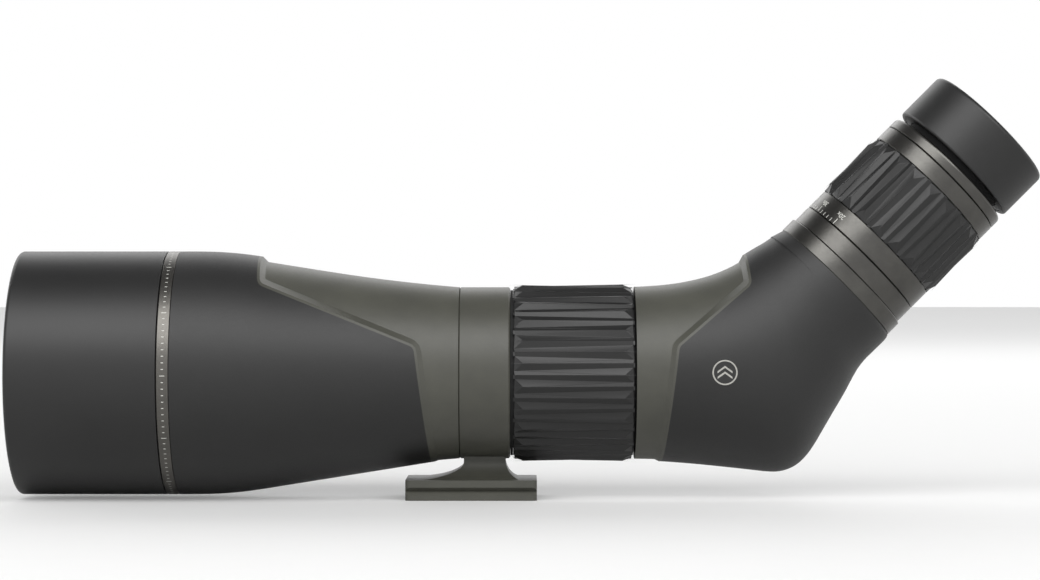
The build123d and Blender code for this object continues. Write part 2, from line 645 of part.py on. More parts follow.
def roof_prism():
    """Triangular prism whose long back is a right-angled roof."""
    apex, foot, far = prism_corners()
    half = PRISM_HALF_WIDTH
    block = extrude(Plane.XZ * make_face(Polyline(apex, foot, far, close=True)), half, both=True)
    ridge = Vector(far[0] - foot[0], 0, far[1] - foot[1])
    frame = Plane(origin=(foot[0], 0, foot[1]), x_dir=(0, 1, 0), z_dir=ridge)
    inward = frame.y_dir.dot(Vector(apex[0] - foot[0], 0, apex[1] - foot[1]))
    side = 1 if inward > 0 else -1
    span = half + 5
    gable = Polyline((0, 0), (span, side * span), (span, side * 80), (-span, side * 80),
                     (-span, side * span), close=True)
    roof = extrude(frame * make_face(gable), ridge.length * 2, both=True)
    return block & roof


def prism_parts():
    apex, foot, far = prism_corners()
    prism = roof_prism()
    inside = PRISM_HALF_WIDTH
    sleeve_outer = tube_bore
    sleeve_inner = sleeve_outer - 2.5
    plate_start = apex[0] - PLATE
    beam = PRISM_FACE / 2 * sin(turn) - 0.5
    cage = ring(BARREL, tube_rear - CAGE_SLEEVE, plate_start, sleeve_inner, sleeve_outer)
    cage += ring(BARREL, plate_start, apex[0], beam, sleeve_outer)
    middle = Vector((foot[0] + far[0]) / 2, 0, (foot[1] + far[1]) / 2)
    back = Vector(far[0] - foot[0], 0, far[1] - foot[1]).normalized()
    outward = Vector(back.Z, 0, -back.X)
    cheek_outline = Polyline((plate_start, apex[1] + 1.0), (apex[0], apex[1] + 1.0), (far[0], far[1] + 1.0),
                             (far[0] + 2.0, far[1] - 3.0), (foot[0], foot[1] - 4.0),
                             (plate_start, foot[1] - 4.0), close=True)
    cheek = extrude(Plane.XZ * make_face(cheek_outline), CHEEK)
    cheek_span = inside + CHEEK
    left = Pos(0, -inside, 0) * cheek
    right = Pos(0, cheek_span, 0) * cheek
    cage += (left + right) & rear_shape(inset=CASTING_WALL + AIR)
    frame = Plane(origin=middle, x_dir=back, z_dir=(0, -1, 0))
    depth_side = 1 if frame.y_dir.dot(outward) < 0 else -1
    clamp_face = Pos(0, depth_side * (CLAMP_DEPTH - CLAMP_BRIDGE) / 2) * Rectangle(
        CLAMP_WIDTH, CLAMP_DEPTH + CLAMP_BRIDGE)
    clamp = extrude(frame * clamp_face, inside, both=True) - prism
    clamp = max(clamp.solids(), key=lambda solid: solid.volume)
    screws = []
    upright = (Align.CENTER, Align.CENTER, Align.MIN)
    for side in (-1, 1):
        for step in (-2.6, 2.6):
            place = Plane(origin=middle + back * step, x_dir=back, z_dir=(0, side, 0))
            shank = place * Pos(0, 0, inside - 2.0) * Cylinder(SCREW_RADIUS, CHEEK + 2.0, align=upright)
            head = place * Pos(0, 0, cheek_span) * Cylinder(2 * SCREW_RADIUS, 1.4, align=upright)
            clamp -= shank
            cage -= shank
            screws.append(shank + head)
    stop = ring(EYEPIECE, HOUSING_RISE - SPIGOT_LENGTH, HOUSING_RISE - SPIGOT_LENGTH + 2.0, FIELD_STOP,
                BODY_RADIUS - BODY_WALL)
    return {"erecting_prism": prism, "prism_cage": cage, "prism_clamp": clamp,
            "prism_screws": Compound(screws), "field_stop": stop}


# ------------------------------------------------------------------ eyepiece
def group_pin_place(group):
    return HOUSING_RISE + group[0] + group[2]


def group_travel(group):
    """Movement of a zoom group at the low and the high end, from its rest place."""
    per_degree = group[3] / (ZOOM_HIGH - ZOOM_LOW)
    return per_degree * ZOOM_LOW, per_degree * ZOOM_HIGH


def eyepiece_body():
    spigot_start = HOUSING_RISE - SPIGOT_LENGTH
    spigot = BODY_RADIUS + SPIGOT_WALL
    mount = turned(EYEPIECE, (spigot_start, BODY_RADIUS), (spigot_start, spigot), (mount_start, spigot),
                   (mount_start, MOUNT_RADIUS - RING_BEVEL), (mount_start + RING_BEVEL, MOUNT_RADIUS),
                   (index_start - RING_BEVEL, MOUNT_RADIUS), (index_start, MOUNT_RADIUS - RING_BEVEL),
                   (index_start, BODY_RADIUS))
    bore = BODY_RADIUS - BODY_WALL
    tube = ring(EYEPIECE, spigot_start, body_top, bore, BODY_RADIUS)
    width = 2 * (ZOOM_PIN + 2 * RUNNING)
    for group, angle in ((FRONT_GROUP, 0), (REAR_GROUP, 180)):
        ends = sorted(group_travel(group))
        place = group_pin_place(group)
        tube -= straight_slot(EYEPIECE, place + ends[0] - width / 2, place + ends[1] + width / 2, angle,
                              bore - 2, BODY_RADIUS + 1, width)
    index = bevelled_ring(EYEPIECE, index_start, scale_start - SEAM, BODY_RADIUS, RING_RADIUS, RING_BEVEL)
    dot = peg(EYEPIECE, scale_start - SEAM - 2.2, 0, RING_RADIUS - 0.8, RING_RADIUS + 0.1, DOT_RADIUS)
    index -= dot
    end_ring_end = end_ring_start + END_RING_WIDTH
    end_ring = turned(EYEPIECE, (end_ring_start, BODY_RADIUS), (end_ring_start, RING_RADIUS - RING_BEVEL),
                      (end_ring_start + RING_BEVEL, RING_RADIUS), (end_ring_end, RING_RADIUS, 1.4),
                      (end_ring_end, BODY_RADIUS))
    return {"eyepiece_mount_collar": mount, "eyepiece_body_tube": tube, "index_ring": index,
            "zoom_index_dot": dot, "eyepiece_end_ring": end_ring}


def eye_lenses():
    bore = BODY_RADIUS - BODY_WALL
    top = body_top - 3.0
    cell_start = end_ring_start - 2.5
    lip = EYE_BORE - 1.5
    inner_start = cell_start + 5.0
    outer_start = top - 2.0 - EYE_OUTER_LENS[0]
    outer_lens = lens(EYEPIECE, outer_start, EYE_BORE, EYE_OUTER_LENS)
    cell = turned(EYEPIECE, (cell_start, EYE_BORE), (cell_start, bore), (top, bore), (top, lip),
                  (top - 2.0, lip), (top - 2.0, EYE_BORE))
    return {
        "eye_lens_cell": cell - outer_lens,
        "eye_lens_inner": lens(EYEPIECE, inner_start, EYE_BORE, EYE_INNER_LENS),
        "eye_lens_outer": outer_lens,
        "eye_retaining_ring": bevelled_ring(EYEPIECE, top, top + 2.4, EYE_BORE + 0.5, bore, 0.4),
    }


def zoom_ring():
    start = scale_start
    end = end_ring_start - SEAM
    cam = ring(EYEPIECE, start, end, cam_bore, cam_radius)
    width = 2 * (ZOOM_PIN + 2 * RUNNING)
    for group, angle in ((FRONT_GROUP, 0), (REAR_GROUP, 180)):
        lead = -group[3] * 360 / (ZOOM_HIGH - ZOOM_LOW)
        spare = degrees(width / 2 / BODY_RADIUS) + 1.0
        cam -= cam_slot(EYEPIECE, group_pin_place(group), cam_bore - 1.0, cam_radius + 0.8, width, lead,
                        -ZOOM_HIGH - spare, -ZOOM_LOW + spare, angle)
    edge = RING_RADIUS
    grip = turned(EYEPIECE, (grip_start, core_radius), (grip_start, edge),
                  (grip_start + GRIP_SHOULDER, GRIP_RADIUS),
                  (grip_end - GRIP_SHOULDER, GRIP_RADIUS), (grip_end, edge), (grip_end, core_radius))
    return {
        "zoom_scale_ring": bevelled_ring(EYEPIECE, start, grip_start, cam_radius, RING_RADIUS, RING_BEVEL),
        "zoom_cam_sleeve": cam,
        "zoom_grip_core": ring(EYEPIECE, grip_start, grip_end, cam_radius, core_radius),
        "zoom_grip": grip,
        "zoom_rear_ring": bevelled_ring(EYEPIECE, grip_end, end, cam_radius, RING_RADIUS, RING_BEVEL),
    }


def zoom_group(name, group, glass, angle):
    """Sliding cell with one lens and the pin that its cam slot drives."""
    outer = BODY_RADIUS - BODY_WALL - RUNNING
    start = HOUSING_RISE + group[0]
    end = start + group[1]
    lens_start = start + 4.0
    lip = ZOOM_BORE - 1.5
    cell = turned(EYEPIECE, (start, lip), (start, outer), (end, outer), (end, ZOOM_BORE),
                  (lens_start, ZOOM_BORE), (lens_start, lip))
    pin = peg(EYEPIECE, start + group[2], angle, ZOOM_BORE + 2.0, cam_radius - 0.2, ZOOM_PIN)
    element = lens(EYEPIECE, lens_start, ZOOM_BORE, glass)
    return {
        f"zoom_{name}_cell": cell - pin - element,
        f"zoom_{name}_lens": element,
        f"zoom_{name}_pin": pin,
    }


def eyecup():
    brake_start = cup_start + 1.3
    brake_end = brake_start + BRAKE_WIDTH
    brake_inner = BODY_RADIUS + RUNNING
    brake_outer = brake_inner + BRAKE_WALL
    pocket = brake_outer + RUNNING
    guide = BODY_RADIUS + AIR
    sleeve_end = cup_end - CUP_LIP
    sleeve = turned(EYEPIECE, (cup_start + 0.2, guide), (cup_start + 0.2, sleeve_radius),
                    (sleeve_end, sleeve_radius), (sleeve_end, guide), (brake_end + 0.1, guide),
                    (brake_end + 0.1, pocket), (brake_start - 0.1, pocket), (brake_start - 0.1, guide))
    rubber = turned(EYEPIECE, (cup_start, sleeve_radius), (cup_start, CUP_RADIUS, 1.0),
                    (cup_end, CUP_RADIUS, CUP_ROUND), (cup_end, CUP_BORE, 0.9),
                    (sleeve_end, CUP_BORE), (sleeve_end, sleeve_radius))
    return {
        "eyecup_brake_ring": ring(EYEPIECE, brake_start, brake_end, brake_inner, brake_outer),
        "eyecup_sleeve": sleeve,
        "eyecup_rubber": rubber,
    }


# ------------------------------------------------------------------ all pieces
def all_pieces():
    pieces = {}
    for group in (tripod_collar(), collar_lock(), front_body(), sunshade(), objective(), centre_tube(),
                  focus(), prism_housing(), prism_parts(), eyepiece_body(), eye_lenses(), zoom_ring(),
                  zoom_group("front", FRONT_GROUP, ZOOM_FRONT_LENS, 0),
                  zoom_group("rear", REAR_GROUP, ZOOM_REAR_LENS, 180), eyecup()):
        pieces.update(group)
    return pieces


os.makedirs("parts", exist_ok=True)
for name, piece in all_pieces().items():
    export_step(piece, f"parts/{name}.step")
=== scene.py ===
import math

import bmesh
import bpy
from mathutils import Matrix, Vector
from mathutils.bvhtree import BVHTree


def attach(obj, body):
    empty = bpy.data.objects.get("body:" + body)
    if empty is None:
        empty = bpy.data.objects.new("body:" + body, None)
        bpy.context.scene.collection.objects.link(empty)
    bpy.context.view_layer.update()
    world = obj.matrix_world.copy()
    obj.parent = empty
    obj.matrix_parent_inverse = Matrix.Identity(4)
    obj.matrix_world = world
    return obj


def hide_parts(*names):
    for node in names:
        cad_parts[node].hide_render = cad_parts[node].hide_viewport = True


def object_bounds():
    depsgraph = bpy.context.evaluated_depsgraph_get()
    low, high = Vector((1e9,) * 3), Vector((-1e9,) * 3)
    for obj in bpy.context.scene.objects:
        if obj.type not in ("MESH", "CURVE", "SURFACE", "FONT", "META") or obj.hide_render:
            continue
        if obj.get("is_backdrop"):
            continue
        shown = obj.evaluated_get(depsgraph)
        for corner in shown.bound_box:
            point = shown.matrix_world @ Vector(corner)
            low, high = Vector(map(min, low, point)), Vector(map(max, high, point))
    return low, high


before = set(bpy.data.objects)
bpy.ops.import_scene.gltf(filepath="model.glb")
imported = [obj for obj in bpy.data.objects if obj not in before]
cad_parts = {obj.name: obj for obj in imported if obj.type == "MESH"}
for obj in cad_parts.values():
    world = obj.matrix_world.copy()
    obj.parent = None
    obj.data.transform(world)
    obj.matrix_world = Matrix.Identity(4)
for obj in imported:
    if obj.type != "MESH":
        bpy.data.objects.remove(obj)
cad_low, cad_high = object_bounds()

# ---------------------------------------------------------------- barrel and prism castings
# The scope's two magnesium castings: the tapered barrel and the elbow that holds the prism. They
# are bead-blasted and coated in a satin olive grey lacquer, bare where the rubber leaves panels
# open. The eye gets a soft broad sheen, faint clouds in the coat and a very fine tooth.
MM = 0.001


def linear(code):
    """Linear colour of an sRGB hex value such as "5c5b50"."""
    parts = [int(code[i:i + 2], 16) / 255 for i in (0, 2, 4)]
    return (*[c / 12.92 if c <= 0.04045 else ((c + 0.055) / 1.055) ** 2.4 for c in parts], 1.0)


def add(tree, kind, inputs=None, **settings):
    """Adds a shader node with its settings, and gives its inputs values or another node's output."""
    made = tree.nodes.new("ShaderNode" + kind)
    for name, value in settings.items():
        setattr(made, name, value)
    for name, value in (inputs or {}).items():
        if isinstance(value, bpy.types.NodeSocket):
            tree.links.new(value, made.inputs[name])
        else:
            made.inputs[name].default_value = value
    return made


def finish(name, dark, pale, patch, grain, depth, rough, metallic=0.0, ior=1.5, stretch=(1, 1, 1), **more):
    """A finish whose colour and roughness cloud from dark to pale over patches, with a fine grain.

    patch, grain and depth are millimetres, rough is the pair of roughness values, and stretch
    scales the grain's coordinates along the object's axes."""
    material = bpy.data.materials.new(name)
    material.use_nodes = True
    tree = material.node_tree
    tree.nodes.clear()
    place = add(tree, "TexCoord").outputs["Object"]
    even = add(tree, "Mapping", {"Vector": place, "Location": (0.31, 0.17, 0.23)}).outputs["Vector"]
    drawn = add(tree, "Mapping", {"Vector": place, "Scale": stretch}).outputs["Vector"]
    clouds = add(tree, "TexNoise", {"Vector": even, "Scale": 1 / (patch * MM), "Detail": 5.0,
                                    "Roughness": 0.6}).outputs[0]
    tooth = add(tree, "TexNoise", {"Vector": drawn, "Scale": 1 / (grain * MM), "Detail": 3.0,
                                   "Roughness": 0.55}).outputs[0]
    tint = add(tree, "ValToRGB", {"Fac": clouds})
    tint.color_ramp.elements[0].position = 0.3
    tint.color_ramp.elements[0].color = linear(dark)
    tint.color_ramp.elements[1].position = 0.7
    tint.color_ramp.elements[1].color = linear(pale)
    sheen = add(tree, "MapRange", {"Value": tooth, "From Min": 0.3, "From Max": 0.7, "To Min": rough[0],
                                   "To Max": rough[1]})
    relief = add(tree, "Bump", {"Height": tooth, "Distance": depth * MM, "Strength": 1.0})
    shader = add(tree, "BsdfPrincipled", {
        "Base Color": tint.outputs["Color"], "Roughness": sheen.outputs["Result"],
        "Normal": relief.outputs["Normal"], "Metallic": metallic, **more})
    if not metallic:
        shader.inputs["IOR"].default_value = ior
    add(tree, "OutputMaterial", {"Surface": shader.outputs["BSDF"]})
    return material


def dress(material, *names):
    """Gives CAD nodes their material."""
    for name in names:
        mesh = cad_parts[name].data
        mesh.materials.clear()
        mesh.materials.append(material)


olive_lacquer = finish("olive_lacquer_on_blasted_magnesium", "3d3d37", "45453e", 18.0, 0.5, 0.02,
                       (0.42, 0.52))
dress(olive_lacquer, "barrel_housing", "prism_housing")

# ---------------------------------------------------------------- rubber armour
# Two sleeves of moulded rubber bonded over the castings, 2 mm thick, with their edges in the
# castings' grooves. Matte black with a dry satin bloom and a fine moulded texture, which is
# drawn at 0.6 mm because the real 0.2 mm grain is too fine to show.
armour = finish("moulded_armour_rubber", "161616", "1a1a1a", 30.0, 0.6, 0.02, (0.46, 0.54))
dress(armour, "front_armor", "rear_armor")

# ---------------------------------------------------------------- sunshade and objective tube
# Sliding sunshade and the tube it runs on, turned from aluminium, blasted and hard anodised
# black. The skin is a little harder and glossier than the rubber beside it.
black_anodised = finish("hard_black_anodised_aluminium", "151515", "191919", 26.0, 0.45, 0.01,
                        (0.42, 0.5))
dress(black_anodised, "sunshade_sleeve", "objective_tube", "objective_retaining_ring", "eye_retaining_ring",
      "eyecup_sleeve")

# ---------------------------------------------------------------- felt under the sunshade
# A band of black wool felt glued round the objective tube, which the sunshade rubs on. Its short
# fibres run every way, so it takes the light softly and has no gloss.
felt = finish("black_wool_felt", "111112", "1d1d1e", 3.0, 0.25, 0.12, (0.9, 1.0), ior=1.45)
dress(felt, "sunshade_felt")

# ---------------------------------------------------------------- trim band
# An aluminium band pressed between sunshade and body, blasted and anodised a pale champagne
# grey. Fine printed ticks stand where the maker's lettering goes.
pale_anodised = finish("pale_anodised_trim_aluminium", "5f5d5a", "686662", 12.0, 0.4, 0.015, (0.34, 0.44),
                       metallic=1.0)
dress(pale_anodised, "trim_band")

# Local Z of each frame is the axis that its rings turn about, and local X faces the lock-free
# side of the scope, so an angle is 0 there and falls towards the scope's top.
BARREL_HEIGHT = 50.0
BEND_X = 109.1
DIAGONAL = math.sqrt(0.5)
barrel_frame = Matrix(((0, 0, 1, 0), (-1, 0, 0, 0), (0, -1, 0, BARREL_HEIGHT * MM), (0, 0, 0, 1)))
eyepiece_frame = Matrix(((0, DIAGONAL, DIAGONAL, BEND_X * MM), (-1, 0, 0, 0),
                         (0, -DIAGONAL, DIAGONAL, BARREL_HEIGHT * MM), (0, 0, 0, 1)))


def round_place(angle, radius, along):
    """Place in a ring's frame, from an angle in degrees and a radius and height in millimetres."""
    turn = math.radians(angle)
    return Vector((math.cos(turn) * radius, math.sin(turn) * radius, along)) * MM


def settle(bm, name, material, matrix=None, smooth=40):
    """Ends a bmesh as an object in the row's frame, with its faces smooth up to that many degrees."""
    if matrix is not None:
        bmesh.ops.transform(bm, matrix=matrix, verts=bm.verts)
    bmesh.ops.recalc_face_normals(bm, faces=bm.faces)
    for face in bm.faces:
        face.smooth = True
    for edge in bm.edges:
        edge.smooth = len(edge.link_faces) == 2 and edge.calc_face_angle(0) < math.radians(smooth)
    mesh = bpy.data.meshes.new(name)
    bm.to_mesh(mesh)
    bm.free()
    mesh.materials.append(material)
    piece = bpy.data.objects.new(name, mesh)
    bpy.context.scene.collection.objects.link(piece)
    return piece


def print_tick(bm, angle, radius, low, high, width, film=0.04):
    """A raised printed stroke along the axis, of that width in millimetres."""
    made = bmesh.ops.create_cube(bm, size=1.0)["verts"]
    for vert in made:
        side, across, up = vert.co
        vert.co = round_place(angle + math.degrees(across * width / radius), radius + side * film,
                              low if up < 0 else high)


# White polyurethane ink, printed about 0.02 mm thick on the anodised rings.
print_ink = finish("white_pad_print_ink", "b9b9b4", "c8c8c2", 1.5, 0.3, 0.01, (0.5, 0.6))
BAND_RADIUS = 48.5
BAND_MIDDLE = -118.4
BAND_TICKS = 120
HALF_LONG_TICK = 1.0
HALF_SHORT_TICK = 0.45
BAND_TICK_WIDTH = 0.3
bm = bmesh.new()
for step in range(BAND_TICKS):
    half = HALF_LONG_TICK if step % 10 == 0 else HALF_SHORT_TICK
    print_tick(bm, step * 360.0 / BAND_TICKS, BAND_RADIUS, BAND_MIDDLE - half, BAND_MIDDLE + half,
               BAND_TICK_WIDTH)
band_ticks = settle(bm, "trim_band_ticks", print_ink, barrel_frame)
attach(band_ticks, "scope_body")

# ---------------------------------------------------------------- tripod collar and foot
# The rotating collar, its lock boss, pedestal and dovetail foot: an aluminium casting, machined
# on the ring's faces and coated like the body, a shade smoother because it is handled more.
collar_lacquer = finish("olive_lacquer_on_machined_aluminium", "3c3c36", "43433c", 14.0, 0.45, 0.015,
                        (0.4, 0.5))
dress(collar_lacquer, "collar_casting", "dovetail_foot")

# ---------------------------------------------------------------- threaded bush, stud, pins and screws
# Stainless steel turned parts: the tripod bush, the lock's stud, the cam pins and the prism's
# screws. Bright with fine turning marks.
steel = finish("turned_stainless_steel", "8b8c8d", "9b9c9d", 4.0, 0.3, 0.01, (0.22, 0.34), metallic=1.0,
               stretch=(1, 1, 8))
dress(steel, "thread_insert", "lock_stud", "prism_screws", "focus_drive_pin", "zoom_front_pin",
      "zoom_rear_pin")

# ---------------------------------------------------------------- lock knob
# The collar's lock knob, moulded in glass-filled nylon with grip flutes. Black, satin, with the
# sparkle-eroded texture of its mould.
knob_nylon = finish("moulded_black_nylon", "1f1f1f", "262626", 8.0, 0.4, 0.03, (0.45, 0.6), ior=1.53)
dress(knob_nylon, "lock_knob")

# ---------------------------------------------------------------- nylon bearings
# The collar's liner, the lock's pad and the eyecup's brake ring: machined natural nylon, a milky
# off-white that is a little waxy.
natural_nylon = finish("natural_nylon", "c4c1b4", "d3d0c4", 9.0, 0.5, 0.01, (0.35, 0.45), ior=1.53)
dress(natural_nylon, "collar_liner", "lock_pad", "eyecup_brake_ring")

# ---------------------------------------------------------------- inside of the scope
# Baffles, cells, the centre tube and the prism's cage: turned aluminium, dyed black and painted
# dead matte so that no stray light comes through.
optical_black = finish("optical_black_paint", "0e0e0e", "151515", 10.0, 0.3, 0.03, (0.8, 0.95))
dress(optical_black, "objective_cell", "objective_spacer", "baffles", "center_tube", "collar_retaining_ring",
      "prism_cage", "prism_clamp", "field_stop", "eyepiece_body_tube", "eye_lens_cell", "focus_ring_core",
      "focus_cell", "focus_retaining_ring", "zoom_cam_sleeve", "zoom_grip_core", "zoom_front_cell",
      "zoom_rear_cell")

# ---------------------------------------------------------------- seals
# Two nitrile rings in the centre tube's grooves, moulded and slightly greased, so they are
# glossier than the armour.
nitrile = finish("greased_nitrile", "121212", "181818", 3.0, 0.3, 0.01, (0.25, 0.4))
dress(nitrile, "focus_seals")


# ---------------------------------------------------------------- lenses and prism
# Optical crown and flint glass, polished, with a multi-layer coating. The glass is clear and its
# surfaces throw back a weak green and violet where bare glass would be white.
def optical_glass(name, ior, weak, strong):
    """Clear polished glass whose coating reflects between two tints over the face of the lens."""
    material = bpy.data.materials.new(name)
    material.use_nodes = True
    tree = material.node_tree
    tree.nodes.clear()
    place = add(tree, "TexCoord").outputs["Object"]
    even = add(tree, "Mapping", {"Vector": place, "Location": (0.1, 0.2, 0.3)}).outputs["Vector"]
    drift = add(tree, "TexNoise", {"Vector": even, "Scale": 1 / (40 * MM), "Detail": 2.0}).outputs[0]
    tint = add(tree, "ValToRGB", {"Fac": drift})
    tint.color_ramp.elements[0].position = 0.3
    tint.color_ramp.elements[0].color = linear(weak)
    tint.color_ramp.elements[1].position = 0.7
    tint.color_ramp.elements[1].color = linear(strong)
    shader = add(tree, "BsdfPrincipled", {
        "Base Color": linear("eef3f0"), "Roughness": 0.01, "IOR": ior, "Transmission Weight": 1.0,
        "Specular Tint": tint.outputs["Color"]})
    add(tree, "OutputMaterial", {"Surface": shader.outputs["BSDF"]})
    return material


coated_crown = optical_glass("coated_optical_glass", 1.52, "5fa083", "8a6fb5")
dress(coated_crown, "objective_front_lens", "objective_crown_lens", "objective_flint_lens", "focus_lens",
      "zoom_front_lens", "zoom_rear_lens", "eye_lens_inner", "eye_lens_outer")
prism_glass = optical_glass("polished_prism_glass", 1.57, "a7c4b8", "c4d2cb")
dress(prism_glass, "erecting_prism")


# ---------------------------------------------------------------- faceted grips
# The focus ring's and the zoom ring's grips are rubber sleeves moulded with long facets. Ridges
# alternate: one peaks near the first end and thins out towards the other, the next is turned
# round. The edges are sharp but moulded, so each is broken by a tenth of a millimetre.
MOULDED_EDGE = 0.12


def faceted_grip(name, material, matrix, ends, bore, count, wide, narrow, inset, radii, lip):
    """A ring of count ridge pairs between two ends on its axis, all in millimetres and degrees.

    wide and narrow are a ridge's half widths at its peak's end and at its thin end, inset is how
    far its peak stands in from the end, and radii are the valley, thin end, peak and lip."""
    valley, thin, peak, rim = radii
    low, high = ends[0] + lip, ends[1] - lip
    pitch = wide + narrow
    bm = bmesh.new()
    for middle, near, far, step in ((0.0, high, low, -inset), (pitch, low, high, inset)):
        top = bm.verts.new(round_place(middle, peak, near + step))
        tail = bm.verts.new(round_place(middle, thin, far))
        foot = [bm.verts.new(round_place(middle + s * wide, valley, near)) for s in (-1, 1)]
        toe = [bm.verts.new(round_place(middle + s * narrow, valley, far)) for s in (-1, 1)]
        bm.faces.new((foot[0], foot[1], top))
        for s in (0, 1):
            bm.faces.new((top, foot[s], toe[s]))
            bm.faces.new((top, toe[s], tail))
    for step in range(1, count):
        copied = bmesh.ops.duplicate(bm, geom=bm.faces[:10])["geom"]
        bmesh.ops.rotate(bm, cent=(0, 0, 0), matrix=Matrix.Rotation(math.radians(2 * pitch * step), 3, "Z"),
                         verts=[g for g in copied if isinstance(g, bmesh.types.BMVert)])
    bmesh.ops.remove_doubles(bm, verts=bm.verts, dist=0.01 * MM)
    ridges = [e for e in bm.edges if not e.is_boundary]
    bmesh.ops.bevel(bm, geom=ridges, offset=MOULDED_EDGE * MM, offset_type="OFFSET", segments=2, profile=0.5,
                    affect="EDGES", material=-1)
    for end, edge in ((ends[0], low), (ends[1], high)):
        loop = [e for e in bm.edges if e.is_boundary and abs(e.verts[0].co.z - edge * MM) < 0.2 * MM
                and abs(e.verts[1].co.z - edge * MM) < 0.2 * MM]
        for radius, along in ((rim, edge), (rim, end), (bore, end), (bore, (ends[0] + ends[1]) / 2)):
            grown = bmesh.ops.extrude_edge_only(bm, edges=loop)["geom"]
            loop = [g for g in grown if isinstance(g, bmesh.types.BMEdge)]
            for vert in {v for e in loop for v in e.verts}:
                flat = Vector((vert.co.x, vert.co.y, 0)).normalized() * radius * MM
                vert.co = (flat.x, flat.y, along * MM)
    bmesh.ops.remove_doubles(bm, verts=bm.verts, dist=0.002 * MM)
    return settle(bm, name, material, matrix, smooth=14)


grip_rubber = finish("moulded_grip_rubber", "141414", "181818", 20.0, 0.5, 0.01, (0.4, 0.48))
focus_sleeve = faceted_grip("focus_grip_facets", grip_rubber, barrel_frame, ends=(16.6, 64.1), bore=33.0,
                            count=24, wide=4.7, narrow=2.8, inset=3.4, radii=(34.0, 34.45, 35.25, 34.3),
                            lip=0.6)
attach(focus_sleeve, "focus_ring")
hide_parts("focus_grip")
zoom_sleeve = faceted_grip("zoom_grip_facets", grip_rubber, eyepiece_frame, ends=(73.8, 103.6), bore=27.2,
                           count=20, wide=5.6, narrow=3.4, inset=4.0, radii=(28.2, 28.75, 29.45, 28.5),
                           lip=0.35)
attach(zoom_sleeve, "zoom_ring")
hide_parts("zoom_grip")

# ---------------------------------------------------------------- bevelled panel rims
# The castings' raised rims round the bare panels slope down to the panels in a bevel about 2 mm
# wide. They are part of the castings and wear the same lacquer.
RIM = 1.0
BEVEL = 1.9
CORNER_STEPS = 12
OUTLINE_STEP = 0.25
OUTLINE_PROBES = 400
HALVINGS = 24
LINE_STEPS = 150
CLEAR_OF_SCOPE = -200
FRONT_OUTLINE = [(-86.0, 60.0), (-83.3, 35.3), (-22.2, 10.75), (-12.6, -60.0)]
REAR_OUTLINE = [(72.6, -60.0), (81.5, 11.0), (110.4, 35.4), (108.3, 60.0)]


def rounded(corners, rounds):
    """A side outline with rounded corners, as places and normals a fraction of a millimetre apart."""
    corners = [Vector(c) for c in corners]
    line = [corners[0]]
    for before, corner, after, radius in zip(corners, corners[1:], corners[2:], rounds):
        back, ahead = (before - corner).normalized(), (after - corner).normalized()
        half = back.angle(ahead) / 2
        reach = radius / math.tan(half)
        middle = corner + (back + ahead).normalized() * radius / math.sin(half)
        start, end = corner + back * reach - middle, corner + ahead * reach - middle
        start, end = start.normalized(), end.normalized()
        line += [middle + start.slerp(end, step / CORNER_STEPS) * radius for step in range(CORNER_STEPS + 1)]
    line.append(corners[-1])
    places = []
    for first, second in zip(line, line[1:]):
        along = (second - first).normalized()
        steps = max(int((second - first).length / OUTLINE_STEP), 1)
        places += [(first.lerp(second, step / steps), Vector((-along.y, along.x))) for step in range(steps)]
    return places


def rim_line(casting, places, inset, sink):
    """A closed line round the casting along an outline moved by inset, sunk into it by sink."""
    def meet(share):
        spot = share * (len(places) - 1)
        first, second = places[int(spot)], places[min(int(spot) + 1, len(places) - 1)]
        flat = first[0].lerp(second[0], spot % 1) + first[1].lerp(second[1], spot % 1).normalized() * inset
        start = Vector((flat.x, CLEAR_OF_SCOPE, flat.y + BARREL_HEIGHT)) * MM
        return start, casting.ray_cast(start, Vector((0, 1, 0)))[0]

    probes = [step / OUTLINE_PROBES for step in range(OUTLINE_PROBES + 1)]
    hits = [share for share in probes if meet(share)[1]]
    ends = []
    for inside, outside in ((hits[0], 0.0), (hits[-1], 1.0)):
        for halving in range(HALVINGS):
            middle = (inside + outside) / 2
            inside, outside = (middle, outside) if meet(middle)[1] else (inside, middle)
        ends.append(inside)
    near = []
    for step in range(LINE_STEPS + 1):
        share = ends[0] + (ends[1] - ends[0]) * (1 - math.cos(math.pi * step / LINE_STEPS)) / 2
        start, spot = meet(min(max(share, ends[0]), ends[1]))
        if step in (0, LINE_STEPS):
            spot = Vector((spot.x, 0, spot.z))
        core = Vector((spot.x, 0, BARREL_HEIGHT * MM))
        near.append(spot + (core - spot).normalized() * sink * MM)
    return near + [Vector((p.x, -p.y, p.z)) for p in reversed(near[1:-1])]


def bevelled_rim(name, node, corners, rounds):
    """The sloped inner edge of a panel's rim, closed round the casting.

    Its three lines are the rim's edge, just proud of the rim, the foot of the slope, just under
    the panel, and a root inside the casting's wall."""
    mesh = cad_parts[node].data
    casting = BVHTree.FromPolygons([v.co for v in mesh.vertices], [p.vertices for p in mesh.polygons])
    places = rounded(corners, rounds)
    bm = bmesh.new()
    loops = []
    for inset, sink in ((RIM - 0.06, -0.015), (RIM + BEVEL, 0.03), (RIM - 0.3, 2.1)):
        verts = [bm.verts.new(p) for p in rim_line(casting, places, inset, sink)]
        loops.append([bm.edges.new((a, b)) for a, b in zip(verts, verts[1:] + verts[:1])])
    for first, second in zip(loops, loops[1:] + loops[:1]):
        bmesh.ops.bridge_loops(bm, edges=first + second)
    rim = settle(bm, name, olive_lacquer, smooth=30)
    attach(rim, "scope_body")


bevelled_rim("front_panel_rim", "barrel_housing", FRONT_OUTLINE, (4.0, 3.0))
bevelled_rim("rear_panel_rim", "prism_housing", REAR_OUTLINE, (3.0, 4.0))

